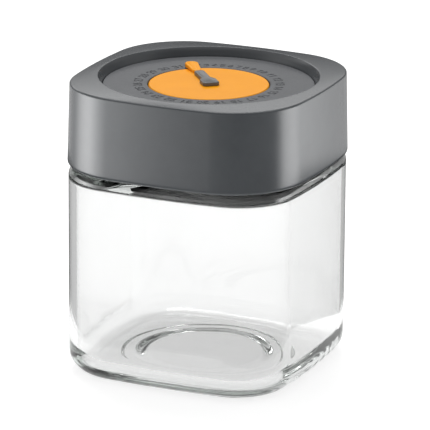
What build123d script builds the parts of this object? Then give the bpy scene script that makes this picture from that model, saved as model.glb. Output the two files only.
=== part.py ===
"""Lidded glass canister with a push-in lid and a two-hand date dial.

The jar is a soft square in plan with a round neck. The lid's skirt hides the neck, its plug and
seal go into the mouth, and its round recess holds a numbered plate, a day disc and a month hand.

Frame: millimetres, +Z up, origin at the middle of the standing face, sides of the jar along X and Y.
"""
from build123d import *
import math
import os

# ---- driving dimensions -------------------------------------------------------------------------
TOTAL_HEIGHT = 119.4

# jar: a square with bowed sides and round corners
JAR_HALF = 49.0            # middle of a side to the axis
JAR_SIDE_RADIUS = 320.0    # bow of each side
JAR_CORNER = 24.5
GLASS_WALL = 3.2
BASE_THICKNESS = 4.6
HEEL_RADIUS = 9.0          # outer edge round the base
FLOOR_RADIUS = 8.0        # inner edge round the floor
SHOULDER_START = 81.5      # height where the wall starts to turn in
SHOULDER_RADIUS = 4.5
SHOULDER_WALL = 5.5        # the glass is thicker over the shoulder than in the walls
SHOULDER_INNER_RADIUS = 1.2
NECK_RADIUS = 41.5
MOUTH_RADIUS = 38.2
NECK_ROOT = 1.0            # hollow fillet between shoulder and neck
RIM_TOP = 110.5
RIM_ROUND = 1.4
PUSH_UP_STEPS = ((34.5, 33.0, 0.8), (29.5, 23.0, 1.8))  # under the base: outer and inner radius, rise

# lid cover
LID_BOTTOM = 85.6
LID_HALF = 50.9            # at the lower edge; the sides draw in towards the top
LID_SIDE_RADIUS = 246.0
LID_CORNER = 31.2
LID_DRAW_IN = 0.9          # how far each side draws in over the lid's height
SKIRT_WALL = 1.9
TOP_EDGE_ROUND = 0.8
LOWER_EDGE_ROUND = 1.6
RECESS_LIP = 44.1
RECESS_FLOOR = 42.5
RECESS_DEPTH = 3.7
LIP_ROUND = 0.4
RIM_PLATE = 2.0            # thickness of the top rim
FLOOR_PLATE = 1.8          # thickness of the floor under the dial
RECESS_WALL = 2.0

# dial
PLATE_THICKNESS = 1.6
PLATE_GAP = 0.2            # round the plate's outer edge
DISC_RADIUS = 24.16
DISC_GAP = 0.34            # round the disc's edge
DISC_LIFT = 0.3            # space under the disc
DISC_BEVEL = 0.5
WASHER_INNER, WASHER_OUTER, WASHER_THICKNESS = 12.0, 16.0, 0.25
POINTER_ANGLE = 130.0      # both pointers, counter-clockwise from +X
TAB_HEIGHT = 2.0           # day disc's pointer above the disc
TAB_TIP, TAB_ROOT = 28.4, 16.0
TAB_HEAD_RADIUS, TAB_ROOT_RADIUS = 2.7, 1.9
TAB_UNDERCUT = 0.3         # space between the tab's overhang and the plate
HAND_GAP = 0.2             # between the hand and the disc
HAND_TOP = 1.65            # top of the hand above the disc
HAND_TIP, HAND_TAIL = 15.3, 4.4
HAND_WAIST, HAND_STEP = 4.2, 1.6     # where the flank ends and where the tail begins
HAND_TIP_HALF, HAND_WAIST_HALF, HAND_TAIL_HALF = 2.15, 1.95, 3.4
HAND_CORNER = 1.2
POINTER_EDGE = 0.35        # rounding of both pointers' top edges

# pivot
HUB_RADIUS = 5.0
HUB_BOTTOM = 109.4
SPINDLE_RADIUS = 2.5
SPINDLE_BOTTOM = 108.0
SPINDLE_SOCKET = 0.7       # how deep the spindle sits in the hand
SPINDLE_LEAD_IN = 0.4
RUNNING = 0.05             # radial clearance of both pivots
RETAINER_GAP = 0.25
DISC_RETAINER_RADIUS, DISC_RETAINER_THICKNESS = 8.5, 1.2
HAND_RETAINER_RADIUS, HAND_RETAINER_THICKNESS = 4.6, 0.9

# plug and seal
FLANGE_RADIUS = 43.4
FLANGE_THICKNESS = 1.4
PLUG_RADIUS = 36.4
PLUG_WALL = 1.8
PLUG_BOTTOM = 99.0
PLUG_PLATE = 1.5
PLUG_EDGE = 1.0
COLLAR_RADIUS = 37.5       # two collars that hold the seal
COLLAR_THICKNESS = 1.0
SEAL_LOW, SEAL_HIGH = 103.2, 107.2
SEAL_BODY_RADIUS = 37.3
SEAL_FIN_RADIUS = 38.1
SEAL_FIN_THICKNESS = 0.7

# ---- heights worked out from the above ----------------------------------------------------------
LID_HEIGHT = TOTAL_HEIGHT - LID_BOTTOM
LID_DRAFT = math.degrees(math.atan(LID_DRAW_IN / LID_HEIGHT))
DIAL_TOP = TOTAL_HEIGHT - RECESS_DEPTH
POCKET_FLOOR = DIAL_TOP - PLATE_THICKNESS
LID_CEILING = POCKET_FLOOR - FLOOR_PLATE
SHOULDER_TOP = SHOULDER_START + SHOULDER_RADIUS


def tangent_points(half, side_radius, corner_radius):
    """Corner centre's coordinate, and the point where a side's arc meets a corner's arc."""
    # the corner circle touches the side circle from inside, and its centre is on the diagonal
    side_x = half - side_radius
    reach = side_radius - corner_radius
    corner = (side_x + math.sqrt(2 * reach**2 - side_x**2)) / 2
    stretch = side_radius / reach
    return corner, (side_x + (corner - side_x) * stretch, corner * stretch)


def soft_square(half, side_radius, corner_radius):
    """Draw a square with bowed sides and round corners as a face of the open sketch."""
    corner, (touch_x, touch_y) = tangent_points(half, side_radius, corner_radius)
    bulge = corner + corner_radius / math.sqrt(2)
    with BuildLine() as outline:
        for turn in range(4):
            side = [(touch_x, -touch_y), (half, 0), (touch_x, touch_y)]
            bend = [(touch_x, touch_y), (bulge, bulge), (touch_y, touch_x)]
            for arc in (side, bend):
                ThreePointArc(*[Vector(*point).rotate(Axis.Z, 90 * turn) for point in arc])
    make_face(outline.edges())


def ring(inner, outer, low, high):
    """Revolve a plain ring about Z into the open part."""
    with BuildSketch(Plane.XZ) as section:
        with BuildLine():
            Polyline((inner, low), (outer, low), (outer, high), (inner, high), close=True)
        make_face()
    revolve(section.sketch, axis=Axis.Z)


def finish(built, name):
    """Label a finished piece and write it."""
    built.part.label = name
    export_step(built.part, f"parts/{name}.step")


os.makedirs("parts", exist_ok=True)
pointer_turn = Plane.XY.rotated((0, 0, POINTER_ANGLE))

# ---- glass jar ----------------------------------------------------------------------------------
with BuildPart() as jar_cavity:
    with BuildSketch(Plane.XY.offset(BASE_THICKNESS)):
        soft_square(JAR_HALF - GLASS_WALL, JAR_SIDE_RADIUS - GLASS_WALL, JAR_CORNER - GLASS_WALL)
    extrude(amount=SHOULDER_TOP - SHOULDER_WALL - BASE_THICKNESS)
    fillet(jar_cavity.faces().sort_by(Axis.Z)[0].edges(), FLOOR_RADIUS)
    fillet(jar_cavity.faces().sort_by(Axis.Z)[-1].edges(), SHOULDER_INNER_RADIUS)
    with BuildSketch(Plane.XY.offset(SHOULDER_START)):
        Circle(MOUTH_RADIUS)
    extrude(amount=TOTAL_HEIGHT - SHOULDER_START)

with BuildPart() as glass_jar:
    with BuildSketch():
        soft_square(JAR_HALF, JAR_SIDE_RADIUS, JAR_CORNER)
    extrude(amount=SHOULDER_TOP)
    fillet(glass_jar.faces().sort_by(Axis.Z)[0].edges(), HEEL_RADIUS)
    fillet(glass_jar.faces().sort_by(Axis.Z)[-1].edges(), SHOULDER_RADIUS)
    with BuildSketch(Plane.XY.offset(SHOULDER_TOP)):
        Circle(NECK_RADIUS)
    extrude(amount=RIM_TOP - SHOULDER_TOP)
    neck_root = glass_jar.edges().filter_by(GeomType.CIRCLE).group_by(Axis.Z)[-2]
    fillet(neck_root.sort_by(SortBy.LENGTH)[-1], NECK_ROOT)
    add(jar_cavity.part, mode=Mode.SUBTRACT)
    step_foot = 0.0
    for outer, inner, rise in PUSH_UP_STEPS:
        with Locations((0, 0, step_foot)):
            Cone(outer, inner, rise, align=(Align.CENTER, Align.CENTER, Align.MIN), mode=Mode.SUBTRACT)
        step_foot += rise
    fillet(glass_jar.edges().group_by(Axis.Z)[-1], RIM_ROUND)
finish(glass_jar, "glass_jar")

# ---- lid cover ----------------------------------------------------------------------------------
with BuildPart() as lid_cover:
    with BuildSketch(Plane.XY.offset(LID_BOTTOM)):
        soft_square(LID_HALF, LID_SIDE_RADIUS, LID_CORNER)
    extrude(amount=LID_HEIGHT, taper=LID_DRAFT)
    fillet(lid_cover.faces().sort_by(Axis.Z)[-1].edges(), TOP_EDGE_ROUND)
    fillet(lid_cover.faces().sort_by(Axis.Z)[0].edges(), LOWER_EDGE_ROUND)
    # space under the floor, where the neck and the plug are
    with BuildSketch(Plane.XY.offset(LID_BOTTOM)):
        soft_square(LID_HALF - SKIRT_WALL, LID_SIDE_RADIUS - SKIRT_WALL, LID_CORNER - SKIRT_WALL)
    extrude(amount=LID_CEILING - LID_BOTTOM, taper=LID_DRAFT, mode=Mode.SUBTRACT)
    # hollow behind the recess wall, up to the rim plate
    inset = SKIRT_WALL + LID_DRAW_IN * (LID_CEILING - LID_BOTTOM) / LID_HEIGHT
    with BuildSketch(Plane.XY.offset(LID_CEILING)):
        soft_square(LID_HALF - inset, LID_SIDE_RADIUS - inset, LID_CORNER - inset)
        Circle(RECESS_FLOOR + RECESS_WALL, mode=Mode.SUBTRACT)
    extrude(amount=TOTAL_HEIGHT - RIM_PLATE - LID_CEILING, taper=LID_DRAFT, mode=Mode.SUBTRACT)
    # recess with a sloping wall, and a straight pocket below it for the plate
    with BuildSketch(Plane.XZ):
        with BuildLine():
            Polyline((0, POCKET_FLOOR), (RECESS_FLOOR, POCKET_FLOOR), (RECESS_FLOOR, DIAL_TOP),
                     (RECESS_LIP, TOTAL_HEIGHT), (0, TOTAL_HEIGHT), close=True)
        make_face()
    revolve(axis=Axis.Z, mode=Mode.SUBTRACT)
    rim_face = lid_cover.faces().filter_by(GeomType.PLANE).sort_by(Axis.Z)[-1]
    fillet(rim_face.inner_wires().edges(), LIP_ROUND)
    with BuildSketch(Plane.XY.offset(LID_CEILING)):
        Circle(HUB_RADIUS + RUNNING)
    extrude(amount=FLOOR_PLATE, mode=Mode.SUBTRACT)
finish(lid_cover, "lid_cover")

# ---- dial ---------------------------------------------------------------------------------------
with BuildPart() as dial_plate:
    ring(DISC_RADIUS + DISC_GAP, RECESS_FLOOR - PLATE_GAP, POCKET_FLOOR, DIAL_TOP)
    chamfer(dial_plate.edges().group_by(Axis.Z)[-1], PLATE_GAP)
finish(dial_plate, "dial_plate")

with BuildPart() as disc_washer:
    ring(WASHER_INNER, WASHER_OUTER, POCKET_FLOOR, POCKET_FLOOR + WASHER_THICKNESS)
finish(disc_washer, "disc_washer")

with BuildPart() as day_disc:
    with BuildSketch(Plane.XY.offset(POCKET_FLOOR + DISC_LIFT)):
        Circle(DISC_RADIUS)
    extrude(amount=PLATE_THICKNESS - DISC_LIFT)
    chamfer(day_disc.edges().group_by(Axis.Z)[-1], DISC_BEVEL)
    with BuildSketch(Plane.XY.offset(HUB_BOTTOM)):
        Circle(HUB_RADIUS)
    extrude(amount=DIAL_TOP - HUB_BOTTOM)
    # pointer: a foot on the disc, and a head that reaches over the plate
    root_centre = TAB_ROOT + TAB_ROOT_RADIUS
    foot_end = DISC_RADIUS - 2 * DISC_BEVEL - TAB_ROOT_RADIUS
    with BuildSketch(pointer_turn.offset(DIAL_TOP)):
        with Locations((root_centre, 0), (foot_end, 0)):
            Circle(TAB_ROOT_RADIUS)
        make_hull()
    extrude(amount=TAB_UNDERCUT)
    with BuildSketch(pointer_turn.offset(DIAL_TOP + TAB_UNDERCUT)):
        with Locations((root_centre, 0)):
            Circle(TAB_ROOT_RADIUS)
        with Locations((TAB_TIP - TAB_HEAD_RADIUS, 0)):
            Circle(TAB_HEAD_RADIUS)
        make_hull()
    extrude(amount=TAB_HEIGHT - TAB_UNDERCUT)
    fillet(day_disc.faces().sort_by(Axis.Z)[-1].edges(), POINTER_EDGE)
    with BuildSketch(Plane.XY.offset(HUB_BOTTOM)):
        Circle(SPINDLE_RADIUS + RUNNING)
    extrude(amount=DIAL_TOP - HUB_BOTTOM, mode=Mode.SUBTRACT)
finish(day_disc, "day_disc")

with BuildPart() as month_hand:
    with BuildSketch(pointer_turn.offset(DIAL_TOP + HAND_GAP)) as hand_outline:
        with BuildLine():
            # blunt tip, straight flank, and a step out to the broad tail
            Polyline((HAND_TIP, 0), (HAND_TIP, HAND_TIP_HALF), (HAND_WAIST, HAND_WAIST_HALF),
                     (HAND_STEP, HAND_TAIL_HALF), (-HAND_TAIL, HAND_TAIL_HALF), (-HAND_TAIL, 0))
            mirror(about=Plane.XZ)
        make_face()
        fillet(hand_outline.vertices(), HAND_CORNER)
    extrude(amount=HAND_TOP - HAND_GAP)
    fillet(month_hand.faces().sort_by(Axis.Z)[-1].edges(), POINTER_EDGE)
    with BuildSketch(Plane.XY.offset(DIAL_TOP + HAND_GAP)):
        Circle(SPINDLE_RADIUS)
    extrude(amount=SPINDLE_SOCKET, mode=Mode.SUBTRACT)
finish(month_hand, "month_hand")

# ---- pivot --------------------------------------------------------------------------------------
spindle_top = DIAL_TOP + HAND_GAP + SPINDLE_SOCKET

with BuildPart() as hand_spindle:
    with BuildSketch(Plane.XY.offset(SPINDLE_BOTTOM)):
        Circle(SPINDLE_RADIUS)
    extrude(amount=spindle_top - SPINDLE_BOTTOM)
    chamfer(hand_spindle.edges().group_by(Axis.Z)[0], SPINDLE_LEAD_IN)
finish(hand_spindle, "hand_spindle")

disc_retainer_top = LID_CEILING - RETAINER_GAP
with BuildPart() as disc_retainer:
    ring(HUB_RADIUS, DISC_RETAINER_RADIUS, disc_retainer_top - DISC_RETAINER_THICKNESS,
         disc_retainer_top)
finish(disc_retainer, "disc_retainer")

hand_retainer_top = HUB_BOTTOM - RETAINER_GAP
with BuildPart() as hand_retainer:
    ring(SPINDLE_RADIUS, HAND_RETAINER_RADIUS, hand_retainer_top - HAND_RETAINER_THICKNESS,
         hand_retainer_top)
finish(hand_retainer, "hand_retainer")

# ---- plug and seal ------------------------------------------------------------------------------
flange_low = LID_CEILING - FLANGE_THICKNESS
plug_inner = PLUG_RADIUS - PLUG_WALL

with BuildPart() as lid_plug:
    with BuildSketch(Plane.XZ):
        with BuildLine():
            Polyline((plug_inner, LID_CEILING), (FLANGE_RADIUS, LID_CEILING),
                     (FLANGE_RADIUS, flange_low), (PLUG_RADIUS, flange_low),
                     (PLUG_RADIUS, SEAL_HIGH + COLLAR_THICKNESS),
                     (COLLAR_RADIUS, SEAL_HIGH + COLLAR_THICKNESS), (COLLAR_RADIUS, SEAL_HIGH),
                     (PLUG_RADIUS, SEAL_HIGH), (PLUG_RADIUS, SEAL_LOW), (COLLAR_RADIUS, SEAL_LOW),
                     (COLLAR_RADIUS, SEAL_LOW - COLLAR_THICKNESS),
                     (PLUG_RADIUS, SEAL_LOW - COLLAR_THICKNESS), (PLUG_RADIUS, PLUG_BOTTOM),
                     (0, PLUG_BOTTOM), (0, PLUG_BOTTOM + PLUG_PLATE),
                     (plug_inner, PLUG_BOTTOM + PLUG_PLATE), close=True)
        make_face()
    revolve(axis=Axis.Z)
    fillet(lid_plug.edges().group_by(Axis.Z)[0], PLUG_EDGE)
finish(lid_plug, "lid_plug")

fin_middle = (SEAL_LOW + SEAL_HIGH) / 2
fin_heights = [SEAL_LOW + SEAL_FIN_THICKNESS, fin_middle, SEAL_HIGH - SEAL_FIN_THICKNESS]
with BuildPart() as lid_seal:
    ring(PLUG_RADIUS, SEAL_BODY_RADIUS, SEAL_LOW, SEAL_HIGH)
    for height in fin_heights:
        ring(PLUG_RADIUS, SEAL_FIN_RADIUS, height - SEAL_FIN_THICKNESS / 2,
             height + SEAL_FIN_THICKNESS / 2)
finish(lid_seal, "lid_seal")
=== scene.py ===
"""Lidded glass canister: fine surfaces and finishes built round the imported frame.

Sizes are in millimetres, in the frame's own axes, unless a name says otherwise. Each new piece is a surface
worked out as whole numpy arrays: rows of points carried round the canister's outline or round its axis, then
joined.
"""
from __future__ import annotations

import logging
import math
from collections.abc import Iterator
from dataclasses import dataclass, field
from enum import Enum

import bpy
import numpy as np
from mathutils import Matrix, Vector

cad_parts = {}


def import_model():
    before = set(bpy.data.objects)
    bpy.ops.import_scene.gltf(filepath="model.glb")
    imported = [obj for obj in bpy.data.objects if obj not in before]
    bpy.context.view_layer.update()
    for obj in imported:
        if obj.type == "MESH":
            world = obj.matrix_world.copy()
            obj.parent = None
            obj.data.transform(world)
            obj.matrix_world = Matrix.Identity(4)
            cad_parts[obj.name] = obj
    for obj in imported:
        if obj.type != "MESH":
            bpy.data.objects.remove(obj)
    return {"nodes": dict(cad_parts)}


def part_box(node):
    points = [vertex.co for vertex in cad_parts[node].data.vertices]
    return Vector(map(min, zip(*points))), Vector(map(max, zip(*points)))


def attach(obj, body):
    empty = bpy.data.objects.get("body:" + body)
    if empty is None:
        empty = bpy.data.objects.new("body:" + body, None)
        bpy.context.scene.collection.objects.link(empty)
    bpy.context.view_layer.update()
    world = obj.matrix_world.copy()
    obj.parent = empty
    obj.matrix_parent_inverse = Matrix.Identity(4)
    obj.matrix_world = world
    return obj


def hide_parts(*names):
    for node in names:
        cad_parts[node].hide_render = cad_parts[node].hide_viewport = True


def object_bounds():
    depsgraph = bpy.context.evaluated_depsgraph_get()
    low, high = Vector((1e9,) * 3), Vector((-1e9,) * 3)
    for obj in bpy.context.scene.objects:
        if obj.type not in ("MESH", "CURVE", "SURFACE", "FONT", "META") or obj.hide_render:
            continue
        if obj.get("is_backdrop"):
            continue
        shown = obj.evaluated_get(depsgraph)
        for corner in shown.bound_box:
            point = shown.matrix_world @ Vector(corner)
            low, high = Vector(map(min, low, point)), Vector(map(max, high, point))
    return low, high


LOG = logging.getLogger("canister")
MM = 0.001
POINTER_ANGLE = math.radians(130.0)
# points along each side and round each corner of the jar and of the lid
SIDE_STEPS, CORNER_STEPS = 20, 52
# steps of a sweep a quarter turn long, from fine to coarse
FINE, MIDDLE, COARSE = (np.linspace(0, math.pi / 2, count) for count in (15, 11, 8))


class Body(Enum):
    """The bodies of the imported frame."""

    JAR = "jar"
    LID = "lid"
    DAY = "day_dial"
    MONTH = "month_pointer"


class Slot(Enum):
    """The record's material slots, one named for each kind of new piece."""

    GLASS = "soda_lime_glass"
    COVER = "grey_cover"
    DIAL = "grey_dial"
    DISC = "orange_plastic"
    HAND = "grey_hand"


# ---- outlines ----------------------------------------------------------------------------------------------

@dataclass(frozen=True)
class SoftSquare:
    """A square with bowed sides and round corners, drawn with eight arcs.

    Args:
        half: distance from the axis to the middle of a side.
        side_radius: radius of each side's arc.
        corner_radius: radius of each corner's arc.
    """

    half: float
    side_radius: float
    corner_radius: float

    @property
    def corner_centre(self) -> float:
        """Coordinate of a corner arc's centre, from where its circle touches the side's from inside."""
        side_x = self.half - self.side_radius
        reach = self.side_radius - self.corner_radius
        return (side_x + math.sqrt(2 * reach ** 2 - side_x ** 2)) / 2

    @property
    def side_span(self) -> float:
        """Angle from a side's middle normal to the normal where the corner arc begins."""
        centre = self.corner_centre
        return math.atan2(centre, centre - (self.half - self.side_radius))

    def normals(self, on_side: int, on_corner: int) -> np.ndarray:
        """Angles of the outline's normals for one turn, evenly spaced on each arc.

        Args:
            on_side: steps along each side.
            on_corner: steps round each corner.

        Returns:
            Angles in radians, the first at the start of the +X side.
        """
        span = self.side_span
        side = np.linspace(-span, span, on_side, endpoint=False)
        corner = np.linspace(span, math.pi / 2 - span, on_corner, endpoint=False)
        quarter = np.concatenate([side, corner])
        return np.concatenate([quarter + turn * math.pi / 2 for turn in range(4)])

    def points(self, angles: np.ndarray, inset: float = 0.0) -> np.ndarray:
        """Points of the outline, moved inwards along its normals.

        A point is its arc's centre plus the arc's radius along the normal, in the quarter the normal faces.

        Args:
            angles: normal angles.
            inset: how far inwards.

        Returns:
            Array of x, y rows.
        """
        quarter = np.round(angles / (math.pi / 2)) * (math.pi / 2)
        local = angles - quarter
        centre, span = self.corner_centre, self.side_span
        on_side = np.abs(local) <= span + 1e-9
        cx = np.where(on_side, self.half - self.side_radius, centre)
        cy = np.where(on_side, 0.0, centre * np.sign(local))
        radius = np.where(on_side, self.side_radius, self.corner_radius) - inset
        x, y = cx + radius * np.cos(local), cy + radius * np.sin(local)
        c, s = np.cos(quarter), np.sin(quarter)
        return np.stack([x * c - y * s, x * s + y * c], 1)


def turned(points: np.ndarray, angle: float) -> np.ndarray:
    """Turn x, y points about the axis, counter-clockwise from above."""
    c, s = math.cos(angle), math.sin(angle)
    return points @ np.array([[c, s], [-s, c]])


def between(start: float, stop: float, count: int) -> np.ndarray:
    """Numbers between two, closer together at both ends: start plus the span times (1 - cos) / 2."""
    return start + (stop - start) * (1 - np.cos(np.linspace(0, math.pi, count)[1:-1])) / 2


def smooth(share: np.ndarray) -> np.ndarray:
    """A rise from 0 to 1 that is level at both ends, 3 s^2 - 2 s^3, and stays at 0 and 1 beyond them."""
    s = np.clip(share, 0, 1)
    return s * s * (3 - 2 * s)


def rounded(radius: float, level: float, turns: np.ndarray) -> Iterator[tuple[float, float]]:
    """Insets and heights of a rounded edge, a quarter circle between a level face and an upright one.

    The inset is the radius times (1 - cos). The height is the level face's plus the radius times (1 - sin).

    Args:
        radius: of the edge, negative where the upright face hangs below the level one.
        level: height of the level face.
        turns: angles, 0 on the upright face and a quarter turn on the level one.

    Yields:
        An inset and a height for each turn.
    """
    for turn in turns:
        yield abs(radius) * (1 - math.cos(turn)), level + radius * (1 - math.sin(turn))


# ---- surfaces ----------------------------------------------------------------------------------------------

@dataclass
class Loft:
    """A skin over rows of points that all have the same number of columns and close on themselves.

    Args:
        polar: angle of each column about the axis, for round rows.
        rows: rows of x, y, z points.
    """

    polar: np.ndarray
    rows: list[np.ndarray] = field(default_factory=list)

    def add(self, xy: np.ndarray, z: float | np.ndarray) -> Loft:
        """Add one row at height z."""
        self.rows.append(np.column_stack([xy, np.broadcast_to(z, len(xy))]))
        return self

    def ring(self, radius: float) -> np.ndarray:
        """Points of a circle, one for each column."""
        return radius * np.stack([np.cos(self.polar), np.sin(self.polar)], 1)

    def circle(self, radius: float, z: float | np.ndarray) -> Loft:
        """Add one round row."""
        return self.add(self.ring(radius), z)

    def blend_to_circle(self, xy: np.ndarray, radius: float, z: float, shares: tuple[float, ...]) -> Loft:
        """Add level rows that go from an outline to a circle.

        Each row is the outline times (1 - share) plus the circle times share.

        Args:
            xy: the outline.
            radius: the circle's radius.
            z: height of all the rows.
            shares: how far along each row is.

        Returns:
            The loft.
        """
        ring = self.ring(radius)
        for share in shares:
            self.add(xy * (1 - share) + ring * share, z)
        return self

    def mesh(self, name: str, closed: bool, crease: float = 35.0) -> bpy.types.Mesh:
        """Join the rows into a closed mesh whose faces point outwards.

        Args:
            name: the mesh's name.
            closed: True if the last row joins the first, False if a point closes the middle of each end.
            crease: edges sharper than this many degrees shade as edges.

        Returns:
            The mesh, in metres.
        """
        grid = np.stack(self.rows)
        count, columns = grid.shape[:2]
        verts = grid.reshape(-1, 3)
        lower = np.arange(count if closed else count - 1)[:, None] * columns + np.arange(columns)[None]
        upper = (lower + columns) % (count * columns)
        along = np.roll(lower, -1, 1)
        quads = np.stack([lower, along, np.roll(upper, -1, 1), upper], -1).reshape(-1, 4)
        faces = [quads]
        if not closed:
            poles = np.stack([grid[0].mean(0), grid[-1].mean(0)])
            verts = np.concatenate([verts, poles])
            first, last = np.arange(columns), (count - 1) * columns + np.arange(columns)
            south, north = np.full(columns, count * columns), np.full(columns, count * columns + 1)
            faces += [np.stack([np.roll(first, -1), first, south], 1),
                      np.stack([last, np.roll(last, -1), north], 1)]
        return solid_mesh(name, verts, faces, crease)


def solid_mesh(name: str, verts: np.ndarray, faces: list[np.ndarray], crease: float) -> bpy.types.Mesh:
    """Put arrays of points and faces into a mesh, turned outwards by the sign of the volume they enclose.

    The volume is a sixth of the sum, over the triangles, of the corner points' triple product.

    Args:
        name: the mesh's name.
        verts: points in millimetres.
        faces: arrays of quads or triangles.
        crease: edges sharper than this many degrees shade as edges.

    Returns:
        The mesh, in metres.
    """
    corners = [f[:, [0, k, k + 1]] for f in faces for k in range(1, f.shape[1] - 1)]
    a, b, c = (verts[np.concatenate(corners)[:, k]] for k in range(3))
    if np.einsum("ij,ij->i", a, np.cross(b, c)).sum() < 0:
        faces = [f[:, ::-1] for f in faces]
    sizes = np.concatenate([np.full(len(f), f.shape[1]) for f in faces])
    return mesh_of(name, verts * MM, np.concatenate([f.ravel() for f in faces]), sizes, crease)


def mesh_of(name: str, verts: np.ndarray, loops: np.ndarray, sizes: np.ndarray,
            crease: float) -> bpy.types.Mesh:
    """Put arrays into a smooth mesh.

    Args:
        name: the mesh's name.
        verts: points in metres.
        loops: point numbers of all the faces, one face after another.
        sizes: number of corners of each face.
        crease: edges sharper than this many degrees shade as edges.

    Returns:
        The mesh.
    """
    mesh = bpy.data.meshes.new(name)
    mesh.vertices.add(len(verts))
    mesh.vertices.foreach_set("co", verts.astype(np.float32).ravel())
    mesh.loops.add(len(loops))
    mesh.loops.foreach_set("vertex_index", loops.astype(np.int32))
    mesh.polygons.add(len(sizes))
    mesh.polygons.foreach_set("loop_start", np.concatenate([[0], np.cumsum(sizes)[:-1]]).astype(np.int32))
    mesh.polygons.foreach_set("use_smooth", np.ones(len(sizes), bool))
    mesh.update(calc_edges=True)
    mesh.validate()
    mesh.set_sharp_from_angle(angle=math.radians(crease))
    return mesh


def joined(name: str, parts: list[bpy.types.Mesh], crease: float = 35.0) -> bpy.types.Mesh:
    """Put several meshes into one, each still its own closed skin.

    Args:
        name: the new mesh's name.
        parts: the meshes, which are used up.
        crease: edges sharper than this many degrees shade as edges.

    Returns:
        The mesh.
    """
    points, loops, sizes, start = [], [], [], 0
    for part in parts:
        place = np.zeros(len(part.vertices) * 3, np.float32)
        corner, size = np.zeros(len(part.loops), np.int32), np.zeros(len(part.polygons), np.int32)
        part.vertices.foreach_get("co", place)
        part.loops.foreach_get("vertex_index", corner)
        part.polygons.foreach_get("loop_total", size)
        points.append(place.reshape(-1, 3))
        loops.append(corner + start)
        sizes.append(size)
        start += len(part.vertices)
        bpy.data.meshes.remove(part)
    return mesh_of(name, *(np.concatenate(arrays) for arrays in (points, loops, sizes)), crease)


def placed(mesh: bpy.types.Mesh, body: Body, slot: Slot, material: bpy.types.Material,
           *nodes: str) -> bpy.types.Object:
    """Make a mesh a piece of the canister.

    Args:
        mesh: the piece's mesh, already in place.
        body: the body it rides on.
        slot: the record's material slot; not used.
        material: its finish.
        nodes: the CAD nodes it stands for.

    Returns:
        The new object.
    """
    piece = bpy.data.objects.new(mesh.name, mesh)
    bpy.context.scene.collection.objects.link(piece)
    mesh.materials.append(material)
    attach(piece, body.value)
    if nodes:
        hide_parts(*nodes)
    LOG.info("%s: %d faces on %s", piece.name, len(mesh.polygons), body.value)
    return piece


# ---- finishes ----------------------------------------------------------------------------------------------

def linear(colour: str) -> tuple[float, float, float, float]:
    """An sRGB hex colour as linear RGBA: c / 12.92 up to 0.04045, else ((c + 0.055) / 1.055) ** 2.4."""
    parts = [int(colour[k:k + 2], 16) / 255 for k in (1, 3, 5)]
    return (*[p / 12.92 if p <= 0.04045 else ((p + 0.055) / 1.055) ** 2.4 for p in parts], 1.0)


def add_node(tree: bpy.types.NodeTree, kind: str, settings: dict | None = None, *values: object,
             **links: object) -> bpy.types.Node:
    """Add a shader node.

    Args:
        tree: the node tree.
        kind: the node's type name without "ShaderNode".
        settings: values of the node's own properties.
        values: for the input sockets in their order, each a value or another node's output socket.
        links: the same by the socket's name, with _ for a space.

    Returns:
        The node.
    """
    node = tree.nodes.new("ShaderNode" + kind)
    for name, value in (settings or {}).items():
        setattr(node, name, value)
    named = ((node.inputs[name.replace("_", " ")], value) for name, value in links.items())
    for socket, value in [*zip(node.inputs, values), *named]:
        if isinstance(value, bpy.types.NodeSocket):
            tree.links.new(value, socket)
        else:
            socket.default_value = value
    return node


def blank_material(name: str) -> tuple[bpy.types.Material, bpy.types.NodeTree]:
    """A new material with an empty node tree."""
    material = bpy.data.materials.new(name)
    material.use_nodes = True
    material.node_tree.nodes.clear()
    return material, material.node_tree


@dataclass(frozen=True)
class PressedGlass:
    """Soda-lime glass, blown in a mould and fire-polished.

    It is colourless face on and faintly green where one looks along a wall, its skin is mirror-smooth, and
    the mould's slow waves bend what stands behind it a little.

    Args:
        name: the material's name.
        wave_mm: distance between the waves that the mould leaves.
        wave_height_mm: their height.
    """

    name: str = "soda_lime_glass_moulded"
    wave_mm: float = 17.0
    wave_height_mm: float = 0.05

    def material(self) -> bpy.types.Material:
        """Build the material."""
        made, tree = blank_material(self.name)
        place = add_node(tree, "TexCoord").outputs["Object"]
        waves = add_node(tree, "TexNoise", Vector=place, Scale=1 / (self.wave_mm * MM), Detail=1.0,
                         Roughness=0.4)
        bump = add_node(tree, "Bump", Height=waves.outputs["Fac"], Strength=1.0,
                        Distance=self.wave_height_mm * MM)
        glass = add_node(tree, "BsdfPrincipled", Base_Color=linear("#F6F6F6"), Roughness=0.0, IOR=1.52,
                         Transmission_Weight=1.0, Normal=bump.outputs["Normal"])
        tint = add_node(tree, "VolumeAbsorption", Color=linear("#D8E2DC"), Density=9.0)
        add_node(tree, "OutputMaterial", Surface=glass.outputs["BSDF"], Volume=tint.outputs["Volume"])
        return made


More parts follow.
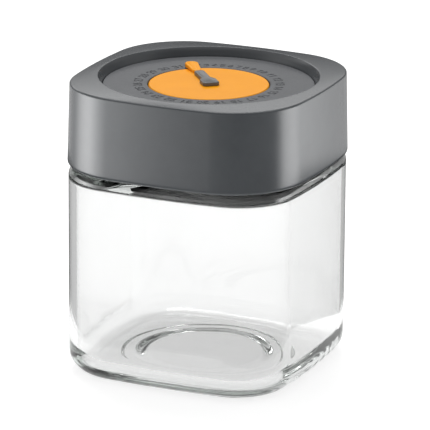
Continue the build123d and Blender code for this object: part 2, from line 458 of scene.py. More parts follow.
@dataclass(frozen=True)
class MouldedPlastic:
    """Injection-moulded plastic: an even colour with faint flow marks, and the grain of its mould.

    Args:
        name: the material's name.
        colour: sRGB hex of the plastic.
        flow_colour: sRGB hex of the flow marks.
        roughness: of the mould's polish.
        flow_mm: size of the flow marks.
        grain_mm: distance between the grains.
        grain_height_mm: their height.
        ior: index of refraction.
        specular: strength of its gloss, 0.5 for what the index gives.
    """

    name: str
    colour: str
    flow_colour: str
    roughness: float
    flow_mm: float = 14.0
    grain_mm: float = 0.5
    grain_height_mm: float = 0.01
    ior: float = 1.49
    specular: float = 0.5

    def material(self) -> bpy.types.Material:
        """Build the material."""
        made, tree = blank_material(self.name)
        place = add_node(tree, "TexCoord").outputs["Object"]
        flow = add_node(tree, "TexNoise", Vector=place, Scale=1 / (self.flow_mm * MM), Detail=3.0,
                        Roughness=0.6)
        colour = add_node(tree, "ValToRGB", Fac=flow.outputs["Fac"])
        colour.color_ramp.elements[0].color = linear(self.flow_colour)
        colour.color_ramp.elements[0].position = 0.35
        colour.color_ramp.elements[1].color = linear(self.colour)
        colour.color_ramp.elements[1].position = 0.6
        grain = add_node(tree, "TexNoise", Vector=place, Scale=1 / (self.grain_mm * MM), Detail=2.0,
                         Roughness=0.5)
        bump = add_node(tree, "Bump", Height=grain.outputs["Fac"], Strength=1.0,
                        Distance=self.grain_height_mm * MM)
        gloss = add_node(tree, "MapRange", Value=grain.outputs["Fac"], To_Min=self.roughness * 0.92,
                         To_Max=self.roughness * 1.08)
        skin = add_node(tree, "BsdfPrincipled", Base_Color=colour.outputs["Color"], IOR=self.ior,
                        Specular_IOR_Level=self.specular, Roughness=gloss.outputs["Result"],
                        Normal=bump.outputs["Normal"])
        add_node(tree, "OutputMaterial", Surface=skin.outputs["BSDF"])
        return made


@dataclass(frozen=True)
class SpringSteel:
    """Rolled, stamped stainless spring steel: bright, its highlights drawn out along fine rolling lines."""

    name: str = "stainless_spring_steel_rolled"
    line_mm: float = 0.3

    def material(self) -> bpy.types.Material:
        """Build the material."""
        made, tree = blank_material(self.name)
        place = add_node(tree, "TexCoord").outputs["Object"]
        stretched = add_node(tree, "Mapping", Vector=place, Scale=(1.0, 0.05, 0.05))
        lines = add_node(tree, "TexNoise", Vector=stretched.outputs["Vector"], Scale=1 / (self.line_mm * MM))
        rough = add_node(tree, "MapRange", Value=lines.outputs["Fac"], To_Min=0.22, To_Max=0.38)
        steel = add_node(tree, "BsdfPrincipled", Base_Color=linear("#C9C8C5"), Metallic=1.0,
                         Roughness=rough.outputs["Result"])
        add_node(tree, "OutputMaterial", Surface=steel.outputs["BSDF"])
        return made


# ABS from a polished mould: broad soft highlights down the skirt, with no grain to be seen in them
COVER_PLASTIC = MouldedPlastic("abs_grey_mould_polished", "#4B4E51", "#484B4E", 0.26, grain_height_mm=0.004)
# ABS from a spark-eroded mould: a flat grey with a fine tooth, so the sunk numbers show by their shade alone
DIAL_PLASTIC = MouldedPlastic("abs_grey_spark_eroded", "#525457", "#4E5053", 0.52, grain_mm=0.7,
                              grain_height_mm=0.05)
# satin ABS, coloured through: a deep warm orange that hardly shines
DISC_PLASTIC = MouldedPlastic("abs_orange_satin_moulded", "#F6A204", "#F39E02", 0.42, grain_mm=0.6,
                              grain_height_mm=0.012, specular=0.16)
# satin ABS: a lighter, warmer grey than the lid, with a soft sheen on its edges
HAND_PLASTIC = MouldedPlastic("abs_light_grey_satin_moulded", "#626262", "#5D5D5D", 0.34, grain_mm=0.6,
                              grain_height_mm=0.015)
# moulded polypropylene: dark, a little waxy, so the glass in front of it turns nearly black
PLUG_PLASTIC = MouldedPlastic("polypropylene_dark_grey_moulded", "#262728", "#232425", 0.38)
# pressed silicone: dull and dark, with a faint bloom of light
SEAL_RUBBER = MouldedPlastic("silicone_dark_grey_pressed", "#2A2B2C", "#272829", 0.5, ior=1.41)
# unpainted nylon: creamy white and slightly glossy
WASHER_NYLON = MouldedPlastic("nylon_natural_moulded", "#E6E4DA", "#E0DED3", 0.45, ior=1.53)


# ---- jar ---------------------------------------------------------------------------------------------------

@dataclass
class Jar:
    """The glass jar, one skin from the middle of its underside round to the middle of its floor."""

    outline: SoftSquare = SoftSquare(49.0, 320.0, 24.5)
    wall: float = 3.2
    heel: float = 9.0
    floor_height: float = 4.6
    floor_round: float = 8.0
    shoulder_start: float = 81.5
    shoulder: float = 4.5
    shoulder_inner: float = 1.2
    shoulder_wall: float = 5.5
    neck: float = 41.5
    mouth: float = 38.2
    neck_root: float = 1.0
    rim_round: float = 1.4
    push_up: float = 35.0
    steps: tuple[tuple[float, float, float], ...] = ((34.5, 33.0, 0.8), (29.5, 23.0, 1.8))
    step_start: float = 22.0
    step_rows: int = 53
    base_middle: tuple[float, ...] = (1.0, 5.0, 12.0, 18.0)
    floor_middle: tuple[float, ...] = (14.0, 8.0, 4.0, 1.0)
    floor_ring: float = 20.0
    wall_rows: int = 16
    neck_rows: int = 10
    crease: float = 60.0

    def skin(self) -> bpy.types.Mesh:
        """Carry the jar's section round its outline, from the middle of the base to the middle of the floor.

        Returns:
            The jar's mesh.
        """
        angles = self.outline.normals(SIDE_STEPS, CORNER_STEPS)
        outer, inner = self.outline.points(angles), self.outline.points(angles, self.wall)
        loft = Loft(np.arctan2(outer[:, 1], outer[:, 0]))
        rim_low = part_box("glass_jar")[1].z / MM - self.rim_round
        shoulder_top = self.shoulder_start + self.shoulder
        # push-up under the base: each step is a smooth rise from its outer radius inwards
        radii = np.concatenate([self.base_middle, np.linspace(self.step_start, self.push_up, self.step_rows)])
        rise = sum(smooth((outside - radii) / (outside - inside)) * high
                   for outside, inside, high in self.steps)
        for radius, z in zip(radii, rise):
            loft.circle(radius, z)
        # standing face, heel, wall and shoulder
        loft.blend_to_circle(self.outline.points(angles, self.heel), self.push_up, 0.0, (0.9, 0.6, 0.3, 0.08))
        for inset, z in rounded(self.heel, 0.0, FINE[::-1]):
            loft.add(self.outline.points(angles, inset), z)
        for z in between(self.heel, self.shoulder_start, self.wall_rows):
            loft.add(outer, z)
        for inset, z in rounded(-self.shoulder, shoulder_top, FINE):
            loft.add(self.outline.points(angles, inset), z)
        loft.blend_to_circle(self.outline.points(angles, self.shoulder), self.neck + self.neck_root,
                             shoulder_top, (0.1, 0.4, 0.7, 0.94))
        # neck, and over its rim in half an ellipse
        for inset, z in rounded(self.neck_root, shoulder_top, FINE[::-2]):
            loft.circle(self.neck + inset, z)
        for z in between(shoulder_top + self.neck_root, rim_low, self.neck_rows - 1):
            loft.circle(self.neck, z)
        middle, half = (self.neck + self.mouth) / 2, (self.neck - self.mouth) / 2
        for turn in np.linspace(0, math.pi, 17):
            loft.circle(middle + half * math.cos(turn), rim_low + self.rim_round * math.sin(turn))
        inner_top = shoulder_top - self.shoulder_wall
        for z in between(rim_low, inner_top, self.neck_rows):
            loft.circle(self.mouth, z)
        # inside of the shoulder, wall and floor
        ceiling = self.outline.points(angles, self.wall + self.shoulder_inner)
        loft.blend_to_circle(ceiling, self.mouth, inner_top, (0.98, 0.8, 0.5, 0.1))
        for inset, z in rounded(-self.shoulder_inner, inner_top, FINE[::-1]):
            loft.add(self.outline.points(angles, self.wall + inset), z)
        floor_edge = self.floor_height + self.floor_round
        for z in between(inner_top - self.shoulder_inner, floor_edge, self.wall_rows):
            loft.add(inner, z)
        for inset, z in rounded(self.floor_round, self.floor_height, FINE):
            loft.add(self.outline.points(angles, self.wall + inset), z)
        loft.blend_to_circle(self.outline.points(angles, self.wall + self.floor_round), self.floor_ring,
                             self.floor_height, (0.08, 0.3, 0.6, 1.0))
        for radius in self.floor_middle:
            loft.circle(radius, self.floor_height)
        return loft.mesh("jar_glass", closed=False, crease=self.crease)

    def build(self) -> None:
        """Make the jar and dress it."""
        placed(self.skin(), Body.JAR, Slot.GLASS, PressedGlass().material(), "glass_jar")


# ---- lid ---------------------------------------------------------------------------------------------------

@dataclass
class Cover:
    """The lid's grey cover: a drafted skirt, a flat rim, and a round recess with a sloping wall."""

    outline: SoftSquare = SoftSquare(50.9, 246.0, 31.2)
    draw_in: float = 0.9
    wall: float = 1.9
    top_round: float = 0.8
    lower_round: float = 1.6
    inner_round: float = 0.25
    lip: float = 44.1
    lip_round: float = 0.4
    rim_fall: float = 0.45
    rim_crown: float = 1.3
    recess: float = 42.5
    recess_depth: float = 3.7
    recess_wall: float = 2.0
    rim_plate: float = 2.0
    hub_hole: float = 5.05
    pocket_radii: tuple[float, ...] = (41.5, 36.0, 28.0, 20.0, 12.0)
    ceiling_radii: tuple[float, ...] = (14.0, 24.0, 34.0)
    hole_margin: float = 0.5

    def skin(self) -> bpy.types.Mesh:
        """Carry the cover's section round its outline and back to where it started.

        Returns:
            The cover's mesh.
        """
        low, high = (corner.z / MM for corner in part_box("lid_cover"))
        pocket, dial_top = (corner.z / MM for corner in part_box("dial_plate"))
        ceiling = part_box("lid_plug")[1].z / MM
        angles = self.outline.normals(SIDE_STEPS, CORNER_STEPS)
        edge = self.outline.points(angles)
        loft = Loft(np.arctan2(edge[:, 1], edge[:, 0]))

        def skirt(depth: float, z: float) -> np.ndarray:
            """The skirt's outline: its inset is the depth plus the draw-in times the share of the height."""
            return self.outline.points(angles, depth + self.draw_in * (z - low) / (high - low))

        for inset, z in rounded(self.inner_round, low, MIDDLE[::2]):
            loft.add(skirt(self.wall - inset, z), z)
        for inset, z in rounded(self.lower_round, low, MIDDLE[::-1]):
            loft.add(skirt(inset, z), z)
        edge_top = high - self.rim_fall
        for z in between(low + self.lower_round, edge_top - self.top_round, 14):
            loft.add(skirt(0.0, z), z)
        for inset, z in rounded(-self.top_round, edge_top, MIDDLE):
            loft.add(skirt(inset, z), z)
        # the rim rises from the outer edge to the lip; left to rise is (1 - share) to the power rim_crown
        for share in (0.04, 0.2, 0.4, 0.6, 0.8, 0.94):
            loft.blend_to_circle(skirt(self.top_round, edge_top), self.lip + self.lip_round,
                                 high - self.rim_fall * (1 - share) ** self.rim_crown, (share,))
        # the lip, rounded as far as the recess wall's slope, then that wall and the pocket of the plate
        slope = math.atan2(self.recess_depth, self.lip - self.recess)
        for inset, z in rounded(-self.lip_round, high, np.linspace(math.pi / 2, math.pi / 2 - slope, 9)):
            loft.circle(self.lip + inset, z)
        for share in (0.2, 0.5, 0.8, 1.0):
            loft.circle(self.lip + (self.recess - self.lip) * share, high + (dial_top - high) * share)
        for radius in (self.recess, *self.pocket_radii, self.hub_hole + self.hole_margin, self.hub_hole):
            loft.circle(radius, pocket)
        # back outwards under the floor, and down inside the skirt
        back = self.recess + self.recess_wall
        for radius in (self.hub_hole, self.hub_hole + self.hole_margin, *self.ceiling_radii, back):
            loft.circle(radius, ceiling)
        under = high - self.rim_plate
        loft.circle(back, under)
        loft.blend_to_circle(skirt(self.wall, under), back, under, (0.9, 0.5, 0.1, 0.0))
        for z in between(under, low + self.inner_round, 8):
            loft.add(skirt(self.wall, z), z)
        return loft.mesh("cover_shell", closed=True)

    def build(self) -> None:
        """Make the cover and dress it."""
        placed(self.skin(), Body.LID, Slot.COVER, COVER_PLASTIC.material(), "lid_cover")


class Stroke(Enum):
    """The shapes that a digit's strokes are drawn with."""

    LINE = "line"
    ARC = "arc"


# Each digit in a box 0.6 wide and 1 high: lines as x0, y0, x1, y1, arcs as centre x, y, half-width,
# half-height, first angle and last angle in degrees.
DIGIT_CENTRE = (0.3, 0.5)
ARC_POINTS = 15
DIGITS: dict[str, list[tuple]] = {
    "0": [(Stroke.ARC, 0.30, 0.50, 0.26, 0.46, 0, 360)],
    "1": [(Stroke.LINE, 0.34, 0.04, 0.34, 0.96), (Stroke.LINE, 0.34, 0.96, 0.12, 0.76)],
    "2": [(Stroke.ARC, 0.30, 0.70, 0.25, 0.26, 170, -35), (Stroke.LINE, 0.505, 0.55, 0.05, 0.04),
          (Stroke.LINE, 0.05, 0.04, 0.56, 0.04)],
    "3": [(Stroke.ARC, 0.28, 0.74, 0.24, 0.22, 150, -90),
          (Stroke.ARC, 0.28, 0.28, 0.27, 0.24, 90, -150)],
    "4": [(Stroke.LINE, 0.42, 0.04, 0.42, 0.96), (Stroke.LINE, 0.42, 0.96, 0.04, 0.30),
          (Stroke.LINE, 0.04, 0.30, 0.58, 0.30)],
    "5": [(Stroke.LINE, 0.52, 0.96, 0.12, 0.96), (Stroke.LINE, 0.12, 0.96, 0.08, 0.54),
          (Stroke.ARC, 0.29, 0.33, 0.26, 0.29, 140, -145)],
    "6": [(Stroke.ARC, 0.30, 0.31, 0.25, 0.27, 0, 360), (Stroke.LINE, 0.07, 0.40, 0.40, 0.96)],
    "7": [(Stroke.LINE, 0.05, 0.96, 0.55, 0.96), (Stroke.LINE, 0.55, 0.96, 0.22, 0.04)],
    "8": [(Stroke.ARC, 0.30, 0.74, 0.21, 0.22, 0, 360), (Stroke.ARC, 0.30, 0.28, 0.26, 0.24, 0, 360)],
    "9": [(Stroke.ARC, 0.30, 0.69, 0.25, 0.27, 0, 360), (Stroke.LINE, 0.53, 0.60, 0.20, 0.04)],
}


def digit_segments(digit: str) -> np.ndarray:
    """A digit's strokes as short straight segments.

    An arc's point is its centre plus the half-sizes times the cosine and sine of its angle.

    Args:
        digit: one character.

    Returns:
        Rows of x0, y0, x1, y1 in the digit's box.
    """
    parts = []
    for kind, *values in DIGITS[digit]:
        if kind is Stroke.LINE:
            parts.append(np.array([values]))
            continue
        x, y, wide, high, first, last = values
        angle = np.radians(np.linspace(first, last, ARC_POINTS))
        path = np.stack([x + wide * np.cos(angle), y + high * np.sin(angle)], 1)
        parts.append(np.concatenate([path[:-1], path[1:]], 1))
    return np.concatenate(parts)


def distance_to(segments: np.ndarray, x: np.ndarray, y: np.ndarray) -> np.ndarray:
    """Distance from each point to the nearest segment: to its foot there, held between the two ends."""
    start, run = segments[:, :2], segments[:, 2:] - segments[:, :2]
    offset = np.stack([x, y], -1)[..., None, :] - start
    share = np.clip((offset * run).sum(-1) / (run ** 2).sum(-1), 0, 1)
    return np.linalg.norm(offset - share[..., None] * run, axis=-1).min(-1)


@dataclass
class NumberPlate:
    """The recess floor: a flat ring with the numbers 1 to 31 sunk into it, clockwise, tops outwards."""

    outer: float = 42.3
    inner: float = 24.5
    edge: float = 0.2
    digit_height: float = 3.3
    digit_middle: float = 28.5
    digit_pitch: float = 2.5
    stroke: float = 0.28
    stroke_edge: float = 0.08
    depth: float = 0.32
    margin: float = 0.5
    rows: int = 36
    columns: int = 1560
    last_number: int = 31

    def sunk(self, polar: np.ndarray, radii: np.ndarray) -> np.ndarray:
        """How deep the plate's face lies below its plane at each radius and angle.

        Every digit takes the same share of the turn. The depth falls from full to nothing across a stroke's
        edge, which is stroke_edge wide on both sides of it.

        Args:
            polar: column angles.
            radii: row radii.

        Returns:
            Depths, one row for each radius.
        """
        depth = np.zeros((len(radii), len(polar)))
        total = sum(len(str(n)) for n in range(1, self.last_number + 1))
        share = 2 * math.pi / total
        used = -0.5
        for number in range(1, self.last_number + 1):
            text = str(number)
            middle = POINTER_ANGLE - (used + len(text) / 2) * share
            used += len(text)
            for place, digit in enumerate(text):
                shift = (place - (len(text) - 1) / 2) * self.digit_pitch
                turn = (middle - polar + math.pi) % (2 * math.pi) - math.pi
                along = turn * self.digit_middle - shift
                near = np.abs(along) < self.digit_height
                u = along[near] / self.digit_height + DIGIT_CENTRE[0]
                v = (radii - self.digit_middle) / self.digit_height + DIGIT_CENTRE[1]
                grid_u, grid_v = np.broadcast_arrays(u[None], v[:, None])
                away = distance_to(digit_segments(digit), grid_u, grid_v) * self.digit_height
                side = smooth((self.stroke + self.stroke_edge - away) / (2 * self.stroke_edge))
                depth[:, near] = np.maximum(depth[:, near], self.depth * side)
        return depth

    def skin(self) -> bpy.types.Mesh:
        """Carry the plate's section round its axis, with the numbers sunk into the face.

        Returns:
            The plate's mesh.
        """
        low, high = (corner.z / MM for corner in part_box("dial_plate"))
        loft = Loft(np.linspace(0, 2 * math.pi, self.columns, endpoint=False))
        loft.circle(self.inner, low).circle(self.inner, high - self.edge)
        loft.circle(self.inner + self.edge, high).circle(self.inner + 2 * self.edge, high)
        half = self.digit_height / 2 + self.margin
        radii = np.linspace(self.digit_middle - half, self.digit_middle + half, self.rows)
        for radius, depth in zip(radii, self.sunk(loft.polar, radii)):
            loft.circle(radius, high - depth)
        loft.circle(self.outer - 2 * self.edge, high).circle(self.outer - self.edge, high)
        loft.circle(self.outer, high - self.edge).circle(self.outer, low)
        return loft.mesh("number_plate", closed=True)

    def build(self) -> None:
        """Make the plate and dress it."""
        placed(self.skin(), Body.LID, Slot.DIAL, DIAL_PLASTIC.material(), "dial_plate")


# ---- dial --------------------------------------------------------------------------------------------------

@dataclass
class DayDial:
    """The orange disc with its hub, and the raised pointer that reaches over the plate."""

    radius: float = 24.16
    bevel: float = 0.5
    bevel_width: float = 0.35
    face_radii: tuple[float, ...] = (20.0, 14.0, 8.0)
    hub: float = 5.0
    bore: float = 2.55
    bore_margin: float = 0.3
    root: float = 16.0
    tip: float = 28.4
    root_radius: float = 1.9
    head_radius: float = 2.7
    height: float = 2.0
    undercut: float = 0.3
    edge: float = 0.45
    dish: float = 0.3
    neck_drop: float = 0.7
    neck_run: float = 2.2
    pointer_points: int = 120

    def disc(self) -> Loft:
        """The disc and hub: a section carried round the axis."""
        low, high = (corner.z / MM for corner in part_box("day_disc"))
        face = high - self.height
        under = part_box("disc_washer")[0].z / MM + self.undercut
        loft = Loft(np.linspace(0, 2 * math.pi, 256, endpoint=False))
        loft.circle(self.bore, low).circle(self.hub, low).circle(self.hub, under)
        loft.circle(self.radius, under).circle(self.radius, face - self.bevel)
        for rise in np.sin(np.linspace(0, math.pi / 2, 6)[1:]):
            loft.circle(self.radius - self.bevel_width * rise, face - self.bevel * (1 - rise))
        near_bore = self.bore + self.bore_margin
        for radius in (self.radius - 2 * self.bevel, *self.face_radii, near_bore, self.bore):
            loft.circle(radius, face)
        return loft

    def pointer(self) -> Loft:
        """The pointer: two circles in one tight outline, with a rounded, dished head and a lower neck.

        A point of the outline lies on the circle that reaches further along its normal. The neck's drop is a
        smooth rise over the run behind the head.

        Returns:
            The pointer's rows, from its underside to the middle of its top.
        """
        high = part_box("day_disc")[1].z / MM
        low = high - self.height
        loft = Loft(np.linspace(-math.pi, math.pi, self.pointer_points, endpoint=False))
        directions = loft.ring(1.0)
        root_x, head_x = self.root + self.root_radius, self.tip - self.head_radius
        at_head = head_x * directions[:, 0] + self.head_radius > root_x * directions[:, 0] + self.root_radius
        centre = np.stack([np.where(at_head, head_x, root_x), np.zeros(len(directions))], 1)
        radius = np.where(at_head, self.head_radius, self.root_radius)

        def outline(inset: float) -> np.ndarray:
            """The pointer's outline along +X, drawn in by the inset."""
            return centre + directions * (radius - inset)[:, None]

        def row(inset: float, z: float, falls: bool = True) -> None:
            """Add the outline at a height, less the neck's drop where the row falls with it."""
            points = outline(inset)
            behind = (head_x - self.head_radius - points[:, 0]) / self.neck_run + 1
            loft.add(turned(points, POINTER_ANGLE), z - self.neck_drop * smooth(behind) * falls)

        for inset, rise in ((0.4, 0.0), (0.1, 0.0), (0.0, 0.1), (0.0, 0.25)):
            row(inset, low + self.undercut + rise, falls=False)
        for inset, z in rounded(-self.edge, high, COARSE):
            row(inset, z)
        for inset, sink in ((0.7, 0.0), (0.9, 0.3), (1.2, 0.8), (1.5, 1.0), (1.8, 1.0)):
            row(inset, high - self.dish * sink)
        return loft

    def foot(self) -> Loft:
        """The pointer's foot, which joins it to the disc and stops short of the disc's bevel."""
        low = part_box("day_disc")[1].z / MM - self.height
        loft = Loft(np.linspace(-math.pi, math.pi, self.pointer_points, endpoint=False))
        directions = loft.ring(1.0)
        ends = np.where(directions[:, 0] > 0, self.radius - 2 * self.bevel - self.root_radius,
                        self.root + self.root_radius)
        for inset, rise in ((0.0, -0.2), (0.0, 0.0), (0.05, 0.1), (0.05, self.undercut + 0.15)):
            points = np.stack([ends, np.zeros(len(ends))], 1) + directions * (self.root_radius - inset)
            loft.add(turned(points, POINTER_ANGLE), low + rise)
        return loft

    def build(self) -> None:
        """Make the disc, its foot and its pointer as one piece, and dress it."""
        parts = [self.disc().mesh("disc_part", closed=True), self.foot().mesh("foot_part", closed=False),
                 self.pointer().mesh("pointer_part", closed=False)]
        placed(joined("day_dial_disc", parts), Body.DAY, Slot.DISC, DISC_PLASTIC.material(), "day_disc")


@dataclass
class MonthHand:
    """The grey hand on the pivot: a broad tail, a hollow step to a narrow flank, and a blunt tip."""

    tip: float = 15.3
    tail: float = 4.4
    waist: float = 4.2
    step: float = 1.6
    tip_half: float = 2.15
    waist_half: float = 1.95
    tail_half: float = 3.4
    corner: float = 1.5
    edge: float = 0.55
    dish: float = 0.15

    def outline(self) -> tuple[np.ndarray, np.ndarray]:
        """The hand's outline with every corner an arc that touches both its sides.

        At a corner the arc's centre lies on the bisector, at the radius over the sine of half the angle.

        Returns:
            Points and outward normals.
        """
        half = np.array([(self.tip, self.tip_half), (self.waist, self.waist_half),
                         (self.step, self.tail_half), (-self.tail, self.tail_half)])
        corners = np.concatenate([half, half[::-1] * [1, -1]])
        before, after = np.roll(corners, 1, 0), np.roll(corners, -1, 0)
        come = (corners - before) / np.linalg.norm(corners - before, axis=1)[:, None]
        leave = (after - corners) / np.linalg.norm(after - corners, axis=1)[:, None]
        bend = np.arctan2(come[:, 0] * leave[:, 1] - come[:, 1] * leave[:, 0], (come * leave).sum(1))
        side = np.sign(bend)
        inward = np.stack([-come[:, 1], come[:, 0]], 1) * side[:, None]
        reach = self.corner * np.tan(np.abs(bend) / 2)
        centre = corners - come * reach[:, None] + inward * self.corner
        share = np.linspace(0, 1, 12)
        first = np.arctan2(-inward[:, 1], -inward[:, 0])
        angle = first[:, None] + bend[:, None] * share
        ray = np.stack([np.cos(angle), np.sin(angle)], -1)
        points = (centre[:, None] + ray * self.corner).reshape(-1, 2)
        normals = (ray * side[:, None, None]).reshape(-1, 2)
        return points, normals

    def skin(self) -> bpy.types.Mesh:
        """Raise the outline into a hand with a rounded, slightly dished top."""
        low, high = (corner.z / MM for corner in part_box("month_hand"))
        points, normals = self.outline()
        loft = Loft(np.zeros(len(points)))

        def ring(inset: float) -> np.ndarray:
            """The hand's outline, drawn in by the inset and turned to its place."""
            return turned(points - normals * inset, POINTER_ANGLE)

        for inset, rise in ((0.3, 0.0), (0.05, 0.0), (0.0, 0.05), (0.0, 0.3)):
            loft.add(ring(inset), low + rise)
        for inset, z in rounded(-self.edge, high, COARSE):
            loft.add(ring(inset), z)
        for inset, sink in ((0.6, 0.0), (0.75, 0.4), (0.9, 0.8), (1.0, 1.0)):
            loft.add(ring(inset), high - self.dish * sink)
        return loft.mesh("month_pointer_hand", closed=False)

    def build(self) -> None:
        """Make the hand and dress it."""
        placed(self.skin(), Body.MONTH, Slot.HAND, HAND_PLASTIC.material(), "month_hand")


# ---- pieces that keep their CAD shape ----------------------------------------------------------------------

@dataclass
class HiddenPieces:
    """The plug, seal, pivot and retainers under the lid, which keep their CAD meshes."""

    nodes: dict[str, bpy.types.Object]

    def build(self) -> None:
        """Give each node its finish."""
        steel = SpringSteel().material()
        finishes = {"lid_plug": PLUG_PLASTIC.material(), "lid_seal": SEAL_RUBBER.material(),
                    "disc_washer": WASHER_NYLON.material(), "hand_spindle": steel, "disc_retainer": steel,
                    "hand_retainer": steel}
        for name, finish in finishes.items():
            self.nodes[name].data.materials[0] = finish
            LOG.info("%s: CAD mesh in %s", name, finish.name)


# ---- studio ------------------------------------------------------------------------------------------------

@dataclass
class Studio:
    """A plain pale floor, soft light, and the camera."""

    azimuth: float = 24.071
    elevation: float = 17.083
    distance: float = 1612.0
    lens: float = 335.2
    roll: float = 0.425
    aside: float = 2.84
    below_top: float = 58.5
    tent_radius: float = 270.0
    tent_height: float = 420.0
    panel_height: float = 140.0
    panel_glow: float = 10.0
    panel_stops: tuple[tuple[float, float], ...] = (
        (-180, 0.05), (-160, 0.02), (-140, 0.08), (-92, 0.1), (-78, 0.5), (-60, 1.0), (-40, 0.48),
        (-20, 0.17), (0, 0.04), (30, 0.0), (85, 0.02), (97, 0.68), (114, 0.66), (128, 0.36), (150, 0.13),
        (180, 0.05))
    band_stops: tuple[tuple[float, float], ...] = (
        (0, 0.0), (180, 0.0), (205, 0.12), (235, 0.24), (270, 0.24), (290, 0.0), (400, 0.0), (402, 0.1))
    behind_stops: tuple[tuple[float, float], ...] = (
        (-180, 0.85), (-120, 1.0), (-80, 0.3), (-40, 0.0), (100, 0.0), (160, 0.2), (180, 0.85))
    panel_share_above: float = 0.08
    ceiling_radius: float = 30.0
    ceiling_drop: float = 20.0
    floor_glow: float = 0.73
    floor_gap: float = 0.15
    fin_radius: float = 100.0
    fin_height: float = 70.0
    fin_glow: float = 0.7
    fin_mirror: float = 0.04
    floor_half: float = 6.0
    shell_steps: int = 96
    room_light: float = 0.6
    overhead_size: float = 0.4
    overhead_watts: float = 4.9
    overhead_place: tuple[float, float, float] = (-0.2, 0.3, 1.0)
    bounces: int = 16
    all_bounces: int = 24

    def camera(self, top: float) -> None:
        """Stand the camera on its bearing, a little to one side, and roll it.

        Args:
            top: height of the canister.
        """
        a, e, r = (math.radians(v) for v in (self.azimuth, self.elevation, self.roll))
        back = Vector((math.sin(a) * math.cos(e), -math.cos(a) * math.cos(e), math.sin(e)))
        level = Vector((math.cos(a), math.sin(a), 0))
        raised = back.cross(level)
        right = level * math.cos(r) + raised * math.sin(r)
        up = raised * math.cos(r) - level * math.sin(r)
        data = bpy.data.cameras.new("camera")
        data.lens, data.sensor_width = self.lens, 36.0
        data.clip_start, data.clip_end = 0.05, 50.0
        camera = bpy.data.objects.new("camera", data)
        bpy.context.scene.collection.objects.link(camera)
        place = Vector((0, 0, top - self.below_top)) + level * self.aside + back * self.distance
        camera.matrix_world = Matrix.Translation(place * MM) @ Matrix((right, up, back)).transposed().to_4x4()
        bpy.context.scene.camera = camera

    def floor(self) -> None:
        """A wide white floor."""
        mesh = bpy.data.meshes.new("floor")
        size, low = self.floor_half, -self.floor_gap * MM
        corners = [(-size, -size, low), (size, -size, low), (size, size, low), (-size, size, low)]
        mesh.from_pydata(corners, [], [(0, 1, 2, 3)])
        made, tree = blank_material("painted_board_white_matte")
        paint = add_node(tree, "BsdfPrincipled", Base_Color=linear("#C0C0C0"), Roughness=0.9,
                         Specular_IOR_Level=0.1, Emission_Color=linear("#FFFFFF"),
                         Emission_Strength=self.floor_glow)
        add_node(tree, "OutputMaterial", Surface=paint.outputs["BSDF"])
        mesh.materials.append(made)
        floor = bpy.data.objects.new("floor", mesh)
        bpy.context.scene.collection.objects.link(floor)
        floor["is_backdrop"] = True

    def shell(self, name: str, rings: tuple[tuple[float, float], ...], glow: bpy.types.Material,
              through: bool) -> None:
        """Stand a round shell of light about the canister that no camera ray, shadow or diffuse ray meets.

        Args:
            name: the object's name.
            rings: radius and height of each ring of its wall, from the lowest up.
            glow: its material.
            through: whether it is met by light that has passed through glass.
        """
        steps = self.shell_steps
        turn = np.linspace(0, 2 * math.pi, steps, endpoint=False)
        ring = np.stack([np.cos(turn), np.sin(turn)], 1)
        rows = [np.column_stack([ring * radius, np.full(steps, z)]) for radius, z in rings]
        verts = np.concatenate(rows) * MM
        lower = np.arange(steps)
        quads = np.stack([lower, np.roll(lower, -1), np.roll(lower, -1) + steps, lower + steps], 1)
        quads = np.concatenate([quads + steps * level for level in range(len(rings) - 1)])
        mesh = bpy.data.meshes.new(name)
        mesh.from_pydata(verts, [], quads.tolist())
        mesh.materials.append(glow)
        shell = bpy.data.objects.new(name, mesh)
        bpy.context.scene.collection.objects.link(shell)
        shell.visible_camera = shell.visible_shadow = shell.visible_diffuse = False
        shell.visible_transmission = through
        shell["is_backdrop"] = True

    def ramp(self, tree: bpy.types.NodeTree, value: bpy.types.NodeSocket, reach: float,
             stops: tuple[tuple[float, float], ...], unit: float) -> bpy.types.NodeSocket:
        """Grey levels that change with a value, straight from stop to stop.

        Args:
            tree: the node tree.
            value: the socket that is read, from -reach to reach.
            reach: the largest value.
            stops: pairs of a value, in units, and the level there, in order.
            unit: size of one unit of the stops.

        Returns:
            The colour socket.
        """
        share = add_node(tree, "MapRange", Value=value, From_Min=-reach, From_Max=reach)
        ramp = add_node(tree, "ValToRGB", Fac=share.outputs["Result"])
        elements = ramp.color_ramp.elements
        elements.remove(elements[1])
        for place, (at, level) in enumerate(stops):
            position = (at * unit / reach + 1) / 2
            element = elements.new(position) if place else elements[0]
            element.position, element.color = position, (level, level, level, 1)
        return ramp.outputs["Color"]

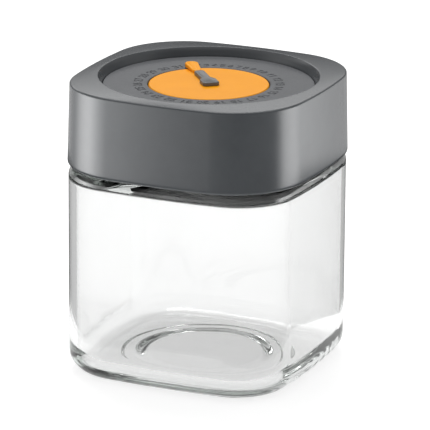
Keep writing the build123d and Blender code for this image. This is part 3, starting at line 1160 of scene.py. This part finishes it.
    def fins(self) -> None:
        """A dull ring close round the jar, which draws the dark edges of its walls.

        Mirrored light meets it. So does light that one wall has taken in, turned back inside itself and let
        out again: two passes through a surface and at least three bounces. All other light goes through it.
        """
        made, tree = blank_material("fin_glow")
        light = add_node(tree, "LightPath").outputs
        passes = add_node(tree, "Math", {"operation": "COMPARE"}, light["Transmission Depth"], 2.0, 0.1)
        turned_back = add_node(tree, "Math", {"operation": "GREATER_THAN"}, light["Ray Depth"], 2.5)
        both = add_node(tree, "Math", {"operation": "MULTIPLY"}, passes.outputs[0], turned_back.outputs[0])
        mirrored = add_node(tree, "Math", {"operation": "LESS_THAN"}, light["Transmission Depth"], 0.5)
        either = add_node(tree, "Math", {"operation": "MAXIMUM"}, both.outputs[0], mirrored.outputs[0])
        level = add_node(tree, "MapRange", Value=both.outputs[0], To_Min=self.fin_mirror,
                         To_Max=self.fin_glow)
        glow = add_node(tree, "Emission", Strength=level.outputs["Result"])
        clear = add_node(tree, "BsdfTransparent")
        mix = add_node(tree, "MixShader", None, either.outputs[0], clear.outputs[0], glow.outputs[0])
        add_node(tree, "OutputMaterial", Surface=mix.outputs[0])
        rings = ((self.fin_radius, 0.0), (self.fin_radius, self.fin_height))
        self.shell("wall_edge_ring", rings, made, through=True)

    def tent(self) -> None:
        """A round light tent, seen only in reflections, whose glow changes with the bearing."""
        made, tree = blank_material("tent_glow")
        place = add_node(tree, "TexCoord").outputs["Object"]
        parts = add_node(tree, "SeparateXYZ", Vector=place)
        # bearings count from -Y towards +X, from -180 to 180 degrees
        down = add_node(tree, "Math", {"operation": "MULTIPLY"}, parts.outputs["Y"], -1.0)
        bearing = add_node(tree, "Math", {"operation": "ARCTAN2"}, parts.outputs["X"], down.outputs[0])
        degree = math.radians(1)
        panels = self.ramp(tree, bearing.outputs[0], math.pi, self.panel_stops, degree)
        # above the panels a band that is bright behind the canister only, then the bright ceiling
        above = add_node(tree, "MapRange", Value=parts.outputs["Z"],
                         From_Min=self.panel_height * MM * 0.8, From_Max=self.panel_height * MM)
        band = self.ramp(tree, parts.outputs["Z"], self.tent_height * MM, self.band_stops, MM)
        behind = self.ramp(tree, bearing.outputs[0], math.pi, self.behind_stops, degree)
        wall_top = self.tent_height - self.ceiling_drop
        ceiling = add_node(tree, "MapRange", Value=parts.outputs["Z"], To_Min=1.0, To_Max=0.0,
                           From_Min=(wall_top - 2.0) * MM, From_Max=(wall_top - 1.0) * MM)
        shade = add_node(tree, "MixRGB", {"blend_type": "MULTIPLY"}, Fac=ceiling.outputs["Result"],
                         Color1=band, Color2=behind)
        upper = add_node(tree, "MixRGB", {"blend_type": "ADD"}, Fac=self.panel_share_above,
                         Color1=shade.outputs["Color"], Color2=panels)
        colour = add_node(tree, "MixRGB", Fac=above.outputs["Result"], Color1=panels,
                          Color2=upper.outputs["Color"])
        glow = add_node(tree, "Emission", Color=colour.outputs["Color"], Strength=self.panel_glow)
        add_node(tree, "OutputMaterial", Surface=glow.outputs["Emission"])
        rings = ((self.tent_radius, 0.0), (self.tent_radius, wall_top),
                 (self.ceiling_radius, self.tent_height))
        self.shell("light_tent", rings, made, through=False)

    def lights(self) -> None:
        """A bright room, and one large soft light overhead."""
        world = bpy.data.worlds.new("room")
        world.use_nodes = True
        sky = world.node_tree.nodes["Background"].inputs
        sky["Color"].default_value, sky["Strength"].default_value = (1, 1, 1, 1), self.room_light
        bpy.context.scene.world = world
        data = bpy.data.lights.new("overhead", "AREA")
        data.shape, data.size, data.energy = "SQUARE", self.overhead_size, self.overhead_watts
        light = bpy.data.objects.new("overhead", data)
        bpy.context.scene.collection.objects.link(light)
        light.location = self.overhead_place
        light.rotation_euler = (-light.location).to_track_quat("-Z", "Y").to_euler()
        bpy.context.scene.view_settings.view_transform = "Standard"
        # light goes round inside thick glass many times before it leaves
        paths = bpy.context.scene.cycles
        paths.glossy_bounces = paths.transmission_bounces = self.bounces
        paths.max_bounces = self.all_bounces

    def build(self, top: float) -> None:
        """Set the stage for a canister of that height."""
        self.floor()
        self.tent()
        self.fins()
        self.lights()
        self.camera(top)


def main() -> None:
    """Build every piece in order, then the studio, stood at the height of the imported frame."""
    logging.basicConfig(level=logging.INFO, format="%(name)s: %(message)s")
    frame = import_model()
    cad_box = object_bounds()
    for piece in (Jar(), Cover(), NumberPlate(), DayDial(), MonthHand(), HiddenPieces(frame["nodes"])):
        piece.build()
        LOG.info("built %s", type(piece).__name__)
    Studio().build(cad_box[1].z / MM)


if __name__ == "__main__":
    main()
